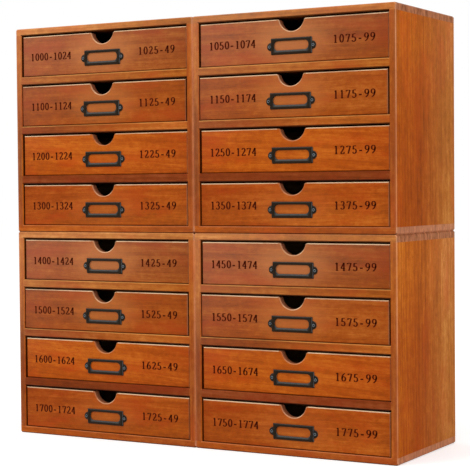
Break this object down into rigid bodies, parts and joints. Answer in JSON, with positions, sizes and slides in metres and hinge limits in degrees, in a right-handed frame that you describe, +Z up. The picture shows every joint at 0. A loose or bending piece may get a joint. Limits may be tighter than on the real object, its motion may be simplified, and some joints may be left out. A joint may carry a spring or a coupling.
{
  "type": "thread drawer cabinet",
  "caption": "Stacked block of small stained wooden cabinets with shallow drawers for sewing thread, each drawer with a finger notch and a metal label holder.",
  "frame": {"origin": "middle of the overall footprint, on the surface that the lower cabinets stand on", "axes": "+X to the right seen from the front, -Y out of the drawer fronts, +Z up"},
  "size_m": [0.5, 0.166, 0.49],
  "materials": {
    "stained_wood": "orange-brown stain under satin varnish",
    "drawer_wood": "planed, lightly stained",
    "plywood": "thin plywood, lightly stained",
    "dark_metal": "dark bronzed pressed sheet"
  },
  "bodies": {
    "cases": {"lower_left_case": "stained_wood", "lower_left_dividers": "stained_wood", "lower_left_back_panel": "plywood", "lower_right_case": "stained_wood", "lower_right_dividers": "stained_wood", "lower_right_back_panel": "plywood", "upper_left_case": "stained_wood", "upper_left_dividers": "stained_wood", "upper_left_back_panel": "plywood", "upper_right_case": "stained_wood", "upper_right_dividers": "stained_wood", "upper_right_back_panel": "plywood"},
    "lower_left_drawer_1": {"lower_left_drawer_1_front": "stained_wood", "lower_left_drawer_1_tray": "drawer_wood", "lower_left_drawer_1_label_holder": "dark_metal"},
    "lower_left_drawer_2": {"lower_left_drawer_2_front": "stained_wood", "lower_left_drawer_2_tray": "drawer_wood", "lower_left_drawer_2_label_holder": "dark_metal"},
    "lower_left_drawer_3": {"lower_left_drawer_3_front": "stained_wood", "lower_left_drawer_3_tray": "drawer_wood", "lower_left_drawer_3_label_holder": "dark_metal"},
    "lower_left_drawer_4": {"lower_left_drawer_4_front": "stained_wood", "lower_left_drawer_4_tray": "drawer_wood", "lower_left_drawer_4_label_holder": "dark_metal"},
    "lower_right_drawer_1": {"lower_right_drawer_1_front": "stained_wood", "lower_right_drawer_1_tray": "drawer_wood", "lower_right_drawer_1_label_holder": "dark_metal"},
    "lower_right_drawer_2": {"lower_right_drawer_2_front": "stained_wood", "lower_right_drawer_2_tray": "drawer_wood", "lower_right_drawer_2_label_holder": "dark_metal"},
    "lower_right_drawer_3": {"lower_right_drawer_3_front": "stained_wood", "lower_right_drawer_3_tray": "drawer_wood", "lower_right_drawer_3_label_holder": "dark_metal"},
    "lower_right_drawer_4": {"lower_right_drawer_4_front": "stained_wood", "lower_right_drawer_4_tray": "drawer_wood", "lower_right_drawer_4_label_holder": "dark_metal"},
    "upper_left_drawer_1": {"upper_left_drawer_1_front": "stained_wood", "upper_left_drawer_1_tray": "drawer_wood", "upper_left_drawer_1_label_holder": "dark_metal"},
    "upper_left_drawer_2": {"upper_left_drawer_2_front": "stained_wood", "upper_left_drawer_2_tray": "drawer_wood", "upper_left_drawer_2_label_holder": "dark_metal"},
    "upper_left_drawer_3": {"upper_left_drawer_3_front": "stained_wood", "upper_left_drawer_3_tray": "drawer_wood", "upper_left_drawer_3_label_holder": "dark_metal"},
    "upper_left_drawer_4": {"upper_left_drawer_4_front": "stained_wood", "upper_left_drawer_4_tray": "drawer_wood", "upper_left_drawer_4_label_holder": "dark_metal"},
    "upper_right_drawer_1": {"upper_right_drawer_1_front": "stained_wood", "upper_right_drawer_1_tray": "drawer_wood", "upper_right_drawer_1_label_holder": "dark_metal"},
    "upper_right_drawer_2": {"upper_right_drawer_2_front": "stained_wood", "upper_right_drawer_2_tray": "drawer_wood", "upper_right_drawer_2_label_holder": "dark_metal"},
    "upper_right_drawer_3": {"upper_right_drawer_3_front": "stained_wood", "upper_right_drawer_3_tray": "drawer_wood", "upper_right_drawer_3_label_holder": "dark_metal"},
    "upper_right_drawer_4": {"upper_right_drawer_4_front": "stained_wood", "upper_right_drawer_4_tray": "drawer_wood", "upper_right_drawer_4_label_holder": "dark_metal"}
  },
  "joints": [
    {"name": "lower_left_drawer_1_slide", "type": "slide", "parent": "cases", "child": "lower_left_drawer_1", "axis": [0, -1, 0], "range_m": [0, 0.12]},
    {"name": "lower_left_drawer_2_slide", "type": "slide", "parent": "cases", "child": "lower_left_drawer_2", "axis": [0, -1, 0], "range_m": [0, 0.12]},
    {"name": "lower_left_drawer_3_slide", "type": "slide", "parent": "cases", "child": "lower_left_drawer_3", "axis": [0, -1, 0], "range_m": [0, 0.12]},
    {"name": "lower_left_drawer_4_slide", "type": "slide", "parent": "cases", "child": "lower_left_drawer_4", "axis": [0, -1, 0], "range_m": [0, 0.12]},
    {"name": "lower_right_drawer_1_slide", "type": "slide", "parent": "cases", "child": "lower_right_drawer_1", "axis": [0, -1, 0], "range_m": [0, 0.12]},
    {"name": "lower_right_drawer_2_slide", "type": "slide", "parent": "cases", "child": "lower_right_drawer_2", "axis": [0, -1, 0], "range_m": [0, 0.12]},
    {"name": "lower_right_drawer_3_slide", "type": "slide", "parent": "cases", "child": "lower_right_drawer_3", "axis": [0, -1, 0], "range_m": [0, 0.12]},
    {"name": "lower_right_drawer_4_slide", "type": "slide", "parent": "cases", "child": "lower_right_drawer_4", "axis": [0, -1, 0], "range_m": [0, 0.12]},
    {"name": "upper_left_drawer_1_slide", "type": "slide", "parent": "cases", "child": "upper_left_drawer_1", "axis": [0, -1, 0], "range_m": [0, 0.12]},
    {"name": "upper_left_drawer_2_slide", "type": "slide", "parent": "cases", "child": "upper_left_drawer_2", "axis": [0, -1, 0], "range_m": [0, 0.12]},
    {"name": "upper_left_drawer_3_slide", "type": "slide", "parent": "cases", "child": "upper_left_drawer_3", "axis": [0, -1, 0], "range_m": [0, 0.12]},
    {"name": "upper_left_drawer_4_slide", "type": "slide", "parent": "cases", "child": "upper_left_drawer_4", "axis": [0, -1, 0], "range_m": [0, 0.12]},
    {"name": "upper_right_drawer_1_slide", "type": "slide", "parent": "cases", "child": "upper_right_drawer_1", "axis": [0, -1, 0], "range_m": [0, 0.12]},
    {"name": "upper_right_drawer_2_slide", "type": "slide", "parent": "cases", "child": "upper_right_drawer_2", "axis": [0, -1, 0], "range_m": [0, 0.12]},
    {"name": "upper_right_drawer_3_slide", "type": "slide", "parent": "cases", "child": "upper_right_drawer_3", "axis": [0, -1, 0], "range_m": [0, 0.12]},
    {"name": "upper_right_drawer_4_slide", "type": "slide", "parent": "cases", "child": "upper_right_drawer_4", "axis": [0, -1, 0], "range_m": [0, 0.12]}
  ]
}
